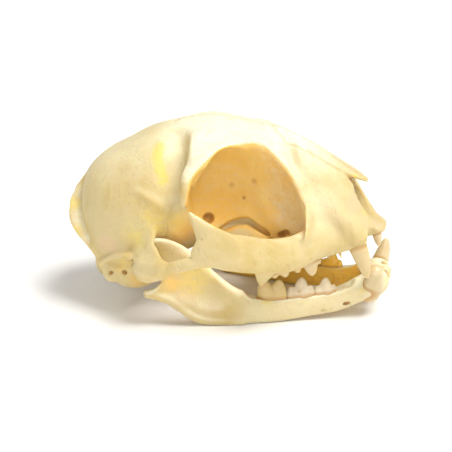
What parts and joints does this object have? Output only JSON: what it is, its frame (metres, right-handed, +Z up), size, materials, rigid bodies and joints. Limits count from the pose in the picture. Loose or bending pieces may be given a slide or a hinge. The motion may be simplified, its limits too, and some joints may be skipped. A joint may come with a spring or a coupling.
{
  "type": "cat skull",
  "caption": "Life-size skull of a domestic cat: domed braincase, large open eye sockets, slim cheek arches and a slightly open lower jaw, with most front teeth missing.",
  "frame": {"origin": "on the floor under the middle of the skull's length, between the two halves of the lower jaw", "axes": "+X towards the snout, +Y towards the skull's left side, +Z up"},
  "size_m": [0.0924, 0.0646, 0.0553],
  "materials": {
    "bone": "dry cleaned bone, cream-white and satin, with yellow grease stains and amber hollows",
    "enamel": "tooth enamel, pale pinkish grey and glossier than the bone"
  },
  "bodies": {
    "root": {"cranium": "bone", "mandible_right": "bone", "mandible_left": "bone"}
  },
  "joints": []
}
